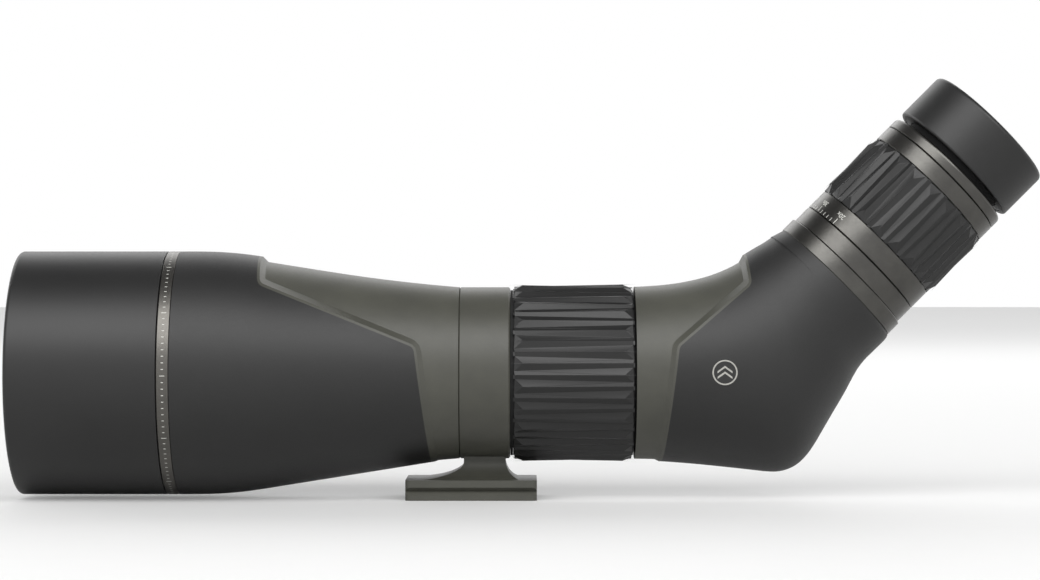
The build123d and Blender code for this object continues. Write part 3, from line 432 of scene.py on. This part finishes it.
# ---------------------------------------------------------------- eyepiece rings
# The mount collar, index ring, zoom scale ring and the two rings above the grip: aluminium,
# bead-blasted and anodised gunmetal. The blasting is drawn at 0.7 mm, four times its real size, so
# that its sparkle shows in the sheen.
gunmetal = finish("blasted_gunmetal_anodised_aluminium", "51504e", "5c5b58", 10.0, 0.7, 0.02, (0.28, 0.38),
                  metallic=1.0)
dress(gunmetal, "eyepiece_mount_collar", "index_ring", "zoom_scale_ring", "zoom_rear_ring",
      "eyepiece_end_ring")
dress(print_ink, "zoom_index_dot")

# ---------------------------------------------------------------- zoom scale
# Magnification marks pad-printed in white on the zoom ring, from 20 to 60 with a stroke at every
# second step and a long stroke at every tenth. The figures read from the eyepiece side.
SCALE_RADIUS = 28.6
SCALE_START = 65.35
FIRST_MARK = -40.0
DEGREES_PER_STEP = -2.4
LONG_MARK = 2.6
SHORT_MARK = 1.5
MARK_WIDTH = 0.28
FIGURE_HEIGHT = 2.0
FIGURE_MIDDLE = 69.8
bm = bmesh.new()
for power in range(20, 61, 2):
    stroke = LONG_MARK if power % 10 == 0 else SHORT_MARK
    print_tick(bm, FIRST_MARK + (power - 20) * DEGREES_PER_STEP, SCALE_RADIUS, SCALE_START,
               SCALE_START + stroke, MARK_WIDTH)
for power in range(20, 61, 10):
    words = bpy.data.curves.new(f"figure_{power}", "FONT")
    words.body = f"{power}x"
    words.align_x = "CENTER"
    words.align_y = "CENTER"
    words.size = FIGURE_HEIGHT / 0.7 * MM
    words.extrude = 0.02 * MM
    words.resolution_u = 3
    typed = bpy.data.objects.new(f"figure_{power}", words)
    bpy.context.scene.collection.objects.link(typed)
    bpy.context.view_layer.update()
    shape = bpy.data.meshes.new_from_object(typed.evaluated_get(bpy.context.evaluated_depsgraph_get()))
    bpy.data.objects.remove(typed)
    middle = FIRST_MARK + (power - 20) * DEGREES_PER_STEP
    for vert in shape.vertices:
        along, up, film = (c / MM for c in vert.co)
        vert.co = round_place(middle - math.degrees(along / SCALE_RADIUS), SCALE_RADIUS + 0.01 + film,
                              FIGURE_MIDDLE - up)
    bm.from_mesh(shape)
    bpy.data.meshes.remove(shape)
scale_print = settle(bm, "zoom_scale_print", print_ink, eyepiece_frame)
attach(scale_print, "zoom_ring")

# ---------------------------------------------------------------- eyecup
# Soft rubber cup moulded over the aluminium sleeve. It is the smoothest of the rubbers, with a
# slight sheen from being handled.
cup_rubber = finish("moulded_eyecup_rubber", "131313", "171717", 16.0, 0.5, 0.01, (0.42, 0.5))
dress(cup_rubber, "eyecup_rubber")

# ---------------------------------------------------------------- badge
# A small round plate glued into the side of the elbow. Its sunk field is dark lacquer, and the
# rim and two peaks are bare pale metal.
BADGE_AT = (99.0, -35.0, 51.0)
badge_frame = Matrix(((1, 0, 0, BADGE_AT[0] * MM), (0, 0, -1, BADGE_AT[1] * MM), (0, 1, 0, BADGE_AT[2] * MM),
                      (0, 0, 0, 1)))
badge_field = finish("dark_badge_lacquer", "1c1c1c", "222222", 2.0, 0.3, 0.01, (0.3, 0.4))
dress(badge_field, "badge")
badge_metal = finish("pale_badge_metal", "a5a49f", "b5b4ae", 2.0, 0.3, 0.01, (0.35, 0.45), metallic=0.6)
BADGE_OUTER = 4.9
BADGE_INNER = 4.35
RELIEF = 0.12
bm = bmesh.new()
corners = [bm.verts.new(Vector((x, 0, z)) * MM)
           for x, z in ((BADGE_INNER, 0), (BADGE_INNER, RELIEF), (BADGE_OUTER, RELIEF), (BADGE_OUTER, 0))]
section = [bm.edges.new((corners[i], corners[(i + 1) % 4])) for i in range(4)]
bmesh.ops.spin(bm, geom=corners + section, cent=(0, 0, 0), axis=(0, 0, 1), angle=2 * math.pi, steps=64,
               use_merge=True, use_duplicate=False)
for low in (-1.9, 0.3):
    strip = [bm.verts.new(Vector((x, y + low, 0)) * MM)
             for x, y in ((-2.9, -0.6), (0, 1.5), (2.9, -0.6), (2.9, 0.2), (0, 2.3), (-2.9, 0.2))]
    face = bm.faces.new(strip)
    raised = bmesh.ops.extrude_face_region(bm, geom=[face])["geom"]
    bmesh.ops.translate(bm, vec=(0, 0, RELIEF * MM),
                        verts=[g for g in raised if isinstance(g, bmesh.types.BMVert)])
badge_relief = settle(bm, "badge_relief", badge_metal, badge_frame, smooth=30)
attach(badge_relief, "scope_body")

# ---------------------------------------------------------------- studio
# A pale satin table top in a white room that darkens towards its ceiling, one large softbox in
# front and above, one over the far end of the table, and a long lens level with the barrel.
satin_table = bpy.data.materials.new("pale_satin_table_top")
satin_table.use_nodes = True
table_top = satin_table.node_tree
table_top.nodes.clear()
fibres = add(table_top, "TexNoise", {"Vector": add(table_top, "TexCoord").outputs["Object"], "Scale": 60.0})
tone = add(table_top, "ValToRGB", {"Fac": fibres.outputs[0]})
tone.color_ramp.elements[0].color = linear("cdcdcc")
tone.color_ramp.elements[1].color = linear("d1d1d0")
body = add(table_top, "BsdfPrincipled", {"Base Color": tone.outputs["Color"], "Roughness": 0.6, "IOR": 1.5,
                                         "Sheen Weight": 1.0, "Sheen Roughness": 0.4})
add(table_top, "OutputMaterial", {"Surface": body.outputs["BSDF"]})
bm = bmesh.new()
bmesh.ops.create_circle(bm, cap_ends=True, radius=14.0, segments=96)
table = settle(bm, "table_top", satin_table)
if table.data.polygons[0].normal.z < 0:
    table.data.flip_normals()
table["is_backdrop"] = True


def softbox(name, place, target, size, power):
    """A rectangular soft light at a place, facing a target."""
    light = bpy.data.lights.new(name, "AREA")
    light.shape = "RECTANGLE"
    light.size, light.size_y = size
    light.energy = power
    made = bpy.data.objects.new(name, light)
    made.location = place
    made.rotation_euler = (Vector(target) - Vector(place)).to_track_quat("-Z", "Y").to_euler()
    bpy.context.scene.collection.objects.link(made)


centre = (cad_low + cad_high) / 2
softbox("front_softbox", (0.0, -1.0, 1.1), centre, (2.6, 0.95), 32.0)
softbox("back_softbox", (0.0, 2.4, 1.5), (0.0, 1.7, 0.0), (7.0, 1.6), 70.0)

world = bpy.data.worlds.new("white_room")
world.use_nodes = True
room = world.node_tree
room.nodes.clear()
height = add(room, "SeparateXYZ", {"Vector": add(room, "TexCoord").outputs["Generated"]}).outputs["Z"]
wall = add(room, "MapRange", {"Value": height, "From Min": 0.2, "From Max": 0.55, "To Min": 1.0,
                              "To Max": 0.16}, interpolation_type="SMOOTHSTEP")
glow = add(room, "Background", {"Color": linear("ffffff"), "Strength": wall.outputs["Result"]})
add(room, "OutputWorld", {"Surface": glow.outputs["Background"]})
bpy.context.scene.world = world
bpy.context.scene.view_settings.view_transform = "Standard"

lens = bpy.data.cameras.new("long_lens")
lens.lens = 107.3
lens.sensor_width = 36.0
lens.dof.use_dof = False
camera = bpy.data.objects.new("camera", lens)
camera.location = (0.0193, -1.240, 0.08307)
camera.rotation_euler = (math.pi / 2, 0, 0)
bpy.context.scene.collection.objects.link(camera)
bpy.context.scene.camera = camera

low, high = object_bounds()
